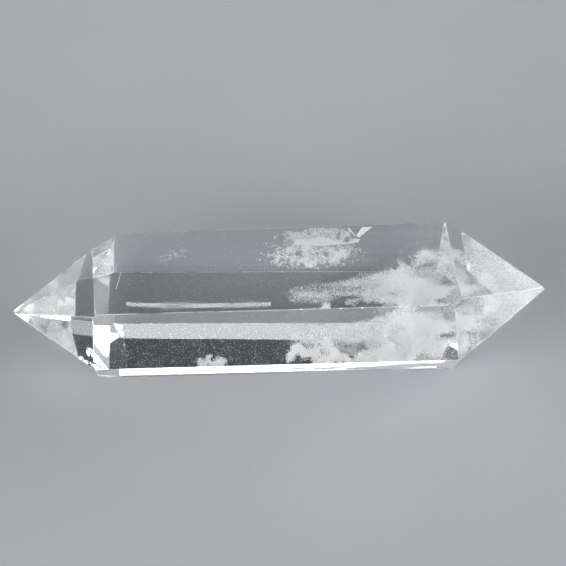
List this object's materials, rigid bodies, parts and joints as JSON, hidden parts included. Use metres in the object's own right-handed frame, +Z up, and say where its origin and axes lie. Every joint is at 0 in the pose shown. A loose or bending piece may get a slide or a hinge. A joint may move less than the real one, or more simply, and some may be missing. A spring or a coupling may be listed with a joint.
{
  "type": "double terminated quartz crystal",
  "caption": "Clear polished quartz crystal, a long hexagonal prism with a faceted pyramid point at either end, lying on a flat body face.",
  "frame": {"origin": "on the resting face, under the middle of the crystal's outline", "axes": "+X along the crystal towards its thicker end, -Y to the front, +Z up"},
  "size_m": [0.0716, 0.0234, 0.0178],
  "materials": {
    "quartz": "polished",
    "inclusions": "satin"
  },
  "bodies": {
    "root": {"quartz_crystal": "quartz"}
  },
  "joints": []
}
